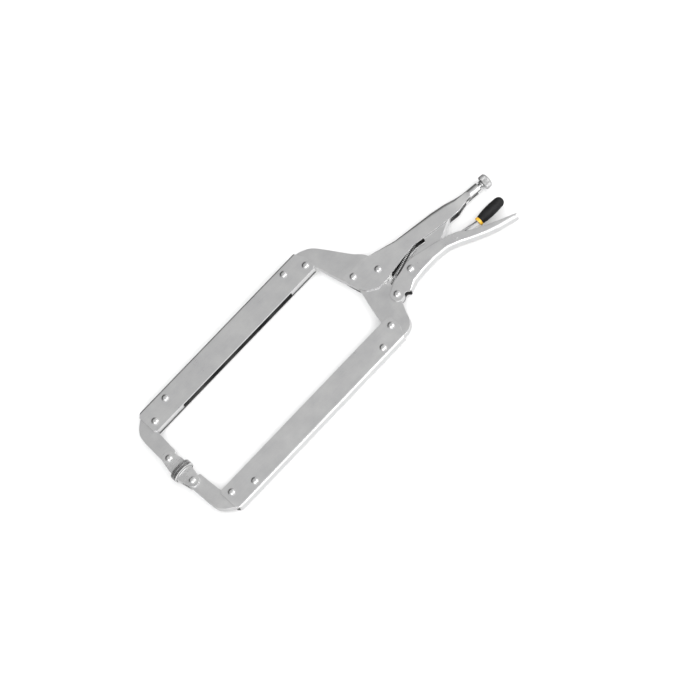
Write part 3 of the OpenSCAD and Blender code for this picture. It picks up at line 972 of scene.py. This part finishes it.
def makeGrip():
    look = gripLathe
    low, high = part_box("grip_collar")
    centre = (low + high) / 2
    tilt = math.radians(look["tilt"])
    axis = Vector((math.cos(tilt), math.sin(tilt), 0))
    start, end, collarRadius = spanAlong("grip_collar", centre, axis)
    gripStart, gripEnd, gripRadius = spanAlong("release_grip", centre, axis)
    length = gripEnd - gripStart
    ends, lip = look["endLength"], look["collarLip"]
    profile = [(gripStart, 0), (gripStart, collarRadius - lip)]
    steps = look["ribs"] * 4
    for i in range(steps + 1):
        share = i / steps
        along = gripStart + (length - ends) * share
        swell = math.sin(math.radians(look["swellTo"]) * share ** look["swellPower"])
        body = collarRadius + look["swell"] * (gripRadius - collarRadius) * swell
        rib = look["ribDepth"] * (0.5 - 0.5 * math.cos(2 * math.pi * i / 4))
        profile.append((along, body - rib))
    last = profile[-1][1]
    for i in range(1, look["endSteps"]):
        angle = math.pi / 2 * i / look["endSteps"]
        bulge = last * math.cos(angle) ** look["endPower"]
        profile.append((gripEnd - ends + ends * math.sin(angle), bulge))
    profile.append((gripEnd, 0))
    grip = lathe("release_grip_sleeve", profile, centre, axis, 72)
    setSmooth(grip, 60)
    giveMaterial(grip, gripRubber)
    ring = [(start, 0), (start, collarRadius - lip), (start + lip * 0.3, collarRadius - lip * 0.3),
            (start + lip, collarRadius), (end - 2 * lip, collarRadius),
            (end - lip, collarRadius - lip * 0.6), (end, collarRadius - lip * 0.7), (end, 0)]
    collar = lathe("grip_collar_ring", ring, centre, axis, 72)
    setSmooth(collar, 40)
    giveMaterial(collar, collarPlastic)
    for piece, slot, node in ((grip, "rubber", "release_grip"), (collar, "yellow_collar", "grip_collar")):
        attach(piece, "release_lever")
        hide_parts(node)


makeGrip()
print("grip and collar made")


def makeSweepTree():
    tree, given, out = newTree("GeometryNodeTree", "sweptWire", [
        geometrySocket, ("Radius", "Float", 0.8 * mm), ("Sides", "Int", 12), ("Material", "Material"),
    ], [geometrySocket])
    path = addNode(tree, "GeometryNodeMeshToCurve", {"Mesh": given.outputs["Geometry"]})
    circle = addNode(tree, "GeometryNodeCurvePrimitiveCircle",
                     {"Radius": given.outputs["Radius"], "Resolution": given.outputs["Sides"]})
    sweep = addNode(tree, "GeometryNodeCurveToMesh", {
        "Fill Caps": True, "Curve": path.outputs["Curve"], "Profile Curve": circle.outputs["Curve"]})
    endTree(tree, sweep.outputs["Mesh"], given.outputs["Material"], out)
    return tree


sweepTree = makeSweepTree()


def pathObject(name, points):
    mesh = bpy.data.meshes.new(name)
    mesh.from_pydata([tuple(p) for p in points], [(i, i + 1) for i in range(len(points) - 1)], [])
    return newObject(name, mesh)


springLook = {
    "wireRadius": 0.75 * mm,
    "coilRadius": 2.9 * mm,
    "turns": 22,
    "pointsPerTurn": 20,
    "coilStart": (9.0, -17.3),
    "coilEnd": (52.0, -4.6),
    "sides": 10,
}


# From the hole in the jaw's ear, along the coil, to the tab in the upper handle
def springPath():
    look = springLook
    hooks = jointByName["jaw_hinge"]["deforming_nodes"][0]
    ear, tab = Vector(hooks["moving_end_m"]), Vector(hooks["fixed_end_m"])
    start = jawPivot + Vector((*look["coilStart"], 0)) * mm
    end = jawPivot + Vector((*look["coilEnd"], 0)) * mm
    axis = (end - start).normalized()
    up = Vector((0, 0, 1))
    side = up.cross(axis)
    r = look["coilRadius"]
    points = [ear + up * z for z in (-r * 0.7, 0, r * 0.6)] + [ear.lerp(start, 0.06) + up * r * 0.92]
    points += [ear.lerp(start, t) + up * r for t in (0.15, 0.5, 0.8)]
    count = look["turns"] * look["pointsPerTurn"]
    for i in range(count + 1):
        angle = 2 * math.pi * i / look["pointsPerTurn"]
        points.append(start.lerp(end, i / count) + (up * math.cos(angle) + side * math.sin(angle)) * r)
    points += [end.lerp(tab, t) + up * r for t in (0.2, 0.5, 0.85)]
    points += [end.lerp(tab, 0.94) + up * r * 0.92] + [tab + up * z for z in (r * 0.6, 0, -r * 0.7)]
    return points, start, end


def makeSpring():
    points, start, end = springPath()
    piece = pathObject("tension_spring_wire", points)
    # The wire takes the darkened material, painted shade for the channel
    addTree(piece, sweepTree, Radius=springLook["wireRadius"], Sides=springLook["sides"],
            Material=metals["shadedSpringWire"])
    bakeModifiers(piece)
    setSmooth(piece, 60)
    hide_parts("tension_spring")
    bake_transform(piece)


makeSpring()
print("spring made")


screwLook = {"outer": 3.2 * mm, "pitch": 1.0 * mm, "depth": 0.5 * mm, "pointsPerTurn": 24,
             "tip": 1.6 * mm, "tipLength": 2.0 * mm, "plainLength": 9.5 * mm, "collarLength": 2.6 * mm,
             "plainInset": 0.2 * mm, "flankShare": 0.46, "sunk": 0.05 * mm}
knobLook = {"chamfer": 0.9 * mm, "dome": 1.8 * mm, "domeSteps": 5, "teeth": 56,
            "toothDepth": 0.22 * mm, "toothShare": 0.86}


def makeScrew():
    look = screwLook
    start, end, collarRadius = spanAlong("screw_shank", screwPoint, screwAxis)
    depth = look["depth"]
    outer = look["outer"]
    core, plain = outer - depth, outer - look["plainInset"]
    threadEnd = end - look["plainLength"]
    collarStart = end - look["collarLength"]
    profile = [(start, 0), (start, look["tip"]), (start + look["tip"], core), (threadEnd, core),
               (threadEnd + 0.6 * mm, plain), (collarStart - 0.5 * mm, plain),
               (collarStart, outer + 0.1 * mm), (collarStart, collarRadius - 0.4 * mm),
               (collarStart + 0.4 * mm, collarRadius), (end - 0.5 * mm, collarRadius),
               (end, collarRadius - 0.5 * mm), (end, 0)]
    shank = lathe("screwCore", profile, screwPoint, screwAxis, 48)
    place = Matrix.Translation(screwPoint) @ rotationTo(screwAxis)
    first = start + look["tipLength"]
    turns = (threadEnd - first) / look["pitch"]
    count = int(turns * look["pointsPerTurn"])
    bm = bmesh.new()
    rows = []
    for i in range(count + 1):
        angle = 2 * math.pi * i / look["pointsPerTurn"]
        along = first + look["pitch"] * i / look["pointsPerTurn"]
        fade = min(1.0, i / look["pointsPerTurn"], (count - i) / look["pointsPerTurn"])
        row = []
        for flank, rise in ((-1, -look["sunk"]), (0, depth * fade), (1, -look["sunk"])):
            radius = core + rise
            shift = flank * look["flankShare"] * look["pitch"]
            point = Vector((math.cos(angle) * radius, math.sin(angle) * radius, along + shift))
            row.append(bm.verts.new(place @ point))
        rows.append(row)
    for a, b in zip(rows, rows[1:]):
        for k in range(2):
            bm.faces.new((a[k], a[k + 1], b[k + 1], b[k]))
        bm.faces.new((a[2], a[0], b[0], b[2]))
    bm.faces.new(rows[0])
    bm.faces.new(list(reversed(rows[-1])))
    bmesh.ops.recalc_face_normals(bm, faces=bm.faces)
    thread = newObject("screwThread", meshFrom(bm, "screwThread"))
    piece = joinObjects("screw_threaded_shank", [shank, thread])
    setSmooth(piece, 35)
    giveMaterial(piece, metals["screwSteel"])
    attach(piece, "screw_shank")
    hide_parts("screw_shank")


# One knurl tooth for each step round the knob
def makeKnurlTree():
    tree, given, out = newTree("GeometryNodeTree", "knurlRing", [
        geometrySocket, ("Tooth", "Object"), ("Teeth", "Int", 40), ("Radius", "Float", 8 * mm),
        ("Material", "Material"),
    ], [geometrySocket])
    circle = addNode(tree, "GeometryNodeMeshCircle",
                     {"Vertices": given.outputs["Teeth"], "Radius": given.outputs["Radius"]},
                     fill_type="NONE")
    index = tree.nodes.new("GeometryNodeInputIndex")
    step = mathNode(tree, "DIVIDE", 2 * math.pi, given.outputs["Teeth"])
    angle = mathNode(tree, "MULTIPLY", index.outputs[0], step)
    turn = addNode(tree, "ShaderNodeCombineXYZ", {"Z": angle})
    tooth = addNode(tree, "GeometryNodeObjectInfo", {"Object": given.outputs["Tooth"]})
    place = addNode(tree, "GeometryNodeInstanceOnPoints", {
        "Points": circle.outputs["Mesh"], "Instance": tooth.outputs["Geometry"],
        "Rotation": turn.outputs["Vector"]})
    join = tree.nodes.new("GeometryNodeJoinGeometry")
    tree.links.new(given.outputs["Geometry"], join.inputs["Geometry"])
    tree.links.new(place.outputs["Instances"], join.inputs["Geometry"])
    endTree(tree, join.outputs["Geometry"], given.outputs["Material"], out)
    return tree


def makeKnob():
    look = knobLook
    start, end, radius = spanAlong("screw_knob", screwPoint, screwAxis)
    length = end - start
    depth, chamfer, dome = look["toothDepth"], look["chamfer"], look["dome"]
    core = radius - depth
    profile = [(0, 0), (0, core - chamfer), (0.25 * chamfer, core - 0.6 * chamfer), (chamfer, core),
               (length - dome - chamfer, core), (length - dome - 0.35 * chamfer, core - 0.25 * chamfer),
               (length - dome, core - chamfer)]
    for i in range(1, look["domeSteps"]):
        angle = math.pi / 2 * i / look["domeSteps"]
        profile.append((length - dome + dome * math.sin(angle), (core - chamfer) * math.cos(angle)))
    profile.append((length, 0))
    knob = lathe("screw_knob_head", profile, Vector((0, 0, 0)), Vector((0, 0, 1)), 72)
    setSmooth(knob, 40)
    width = math.pi * radius / look["teeth"] * look["toothShare"]
    low, high = chamfer * 0.8, length - dome - chamfer * 0.8
    tooth = bpy.data.meshes.new("tooth")
    tooth.from_pydata(
        [(-depth * 0.2, -width, low), (-depth * 0.2, width, low), (depth, 0, low + depth),
         (-depth * 0.2, -width, high), (-depth * 0.2, width, high), (depth, 0, high - depth)], [],
        [(0, 1, 2), (3, 5, 4), (0, 3, 4, 1), (1, 4, 5, 2), (2, 5, 3, 0)])
    toothPiece = newObject("tooth", tooth)
    addTree(knob, makeKnurlTree(), Tooth=toothPiece, Teeth=look["teeth"], Radius=core,
            Material=metals["screwSteel"])
    bakeModifiers(knob)
    bpy.data.objects.remove(toothPiece)
    knob.data.transform(Matrix.Translation(screwPoint + screwAxis * start) @ rotationTo(screwAxis))
    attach(knob, "screw_knob")
    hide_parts("screw_knob")


makeScrew()
makeKnob()
print("screw and knob made")


studio = {
    "floorSize": 12.0,
    "floorColor": (0.90, 0.90, 0.90),
    "keyDirection": (0.25, -0.95, -0.15),
    "sky": [(0.0, 0.03), (0.14, 0.16), (0.30, 0.68), (0.55, 0.90), (0.74, 1.12), (1.0, 1.18)],
    "overhead": 0.62,
    "overheadFrom": (0.28, 0.88),
    "skyStrength": 1.0,
    "lights": [
        {"name": "rightSoftbox", "from": (0.46, -0.47, 0.75), "distance": 2.0, "size": 1.1, "power": 14},
        {"name": "lowSoftbox", "from": (-0.48, -0.46, 0.75), "distance": 2.0, "size": 1.1, "power": 14},
        {"name": "floorWash", "from": (0, 0.05, 1), "distance": 3.0, "size": 3.0, "power": 45,
         "mirrored": False},
    ],
}


def makeFloor():
    low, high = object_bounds()
    size = studio["floorSize"] / 2
    centre = (low + high) / 2
    mesh = bpy.data.meshes.new("floor")
    corners = [(-size, -size), (size, -size), (size, size), (-size, size)]
    mesh.from_pydata([(centre.x + x, centre.y + y, low.z) for x, y in corners], [], [(0, 1, 2, 3)])
    floor = newObject("floor", mesh)
    material, tree, shader, vector = newMaterial("paleFloor")
    shade = noise(tree, vector, 3, 3, 0.5)
    r, g, b = studio["floorColor"]
    color = ramp(tree, shade, [(0.2, (r * 0.99, g * 0.99, b * 0.99)), (0.8, (r, g, b))])
    tree.links.new(color, shader.inputs["Base Color"])
    shader.inputs["Roughness"].default_value = 0.9
    giveMaterial(floor, material)
    floor.visible_glossy = False


def makeSky():
    world = bpy.data.worlds.new("studio")
    scene.world = world
    world.use_nodes = True
    tree = world.node_tree
    background = tree.nodes["Background"]
    place = tree.nodes.new("ShaderNodeTexCoord")
    facing = addNode(tree, "ShaderNodeVectorMath", operation="DOT_PRODUCT")
    facing.inputs[1].default_value = Vector(studio["keyDirection"]).normalized()
    tree.links.new(place.outputs["Generated"], facing.inputs[0])
    share = mathNode(tree, "MULTIPLY_ADD", facing.outputs["Value"], 0.5, 0.5)
    stops = [(at, (value, value, value)) for at, value in studio["sky"]]
    parts = tree.nodes.new("ShaderNodeSeparateXYZ")
    tree.links.new(place.outputs["Generated"], parts.inputs["Vector"])
    lift = remap(tree, parts.outputs["Z"], *studio["overheadFrom"], 0.0, studio["overhead"])
    tree.links.new(mathNode(tree, "MAXIMUM", ramp(tree, share, stops), lift), background.inputs["Color"])
    background.inputs["Strength"].default_value = studio["skyStrength"]


def makeLights():
    target = Vector(cameraLook["target"])
    for light in studio["lights"]:
        data = bpy.data.lights.new(light["name"], "AREA")
        data.shape = "SQUARE"
        data.size = light["size"]
        data.energy = light["power"]
        lamp = newObject(light["name"], data)
        lamp.visible_glossy = light.get("mirrored", True)
        toward = Vector(light["from"]).normalized()
        lamp.matrix_world = Matrix.Translation(target + toward * light["distance"]) @ rotationTo(toward)


makeFloor()
makeSky()
makeLights()
print("studio made")
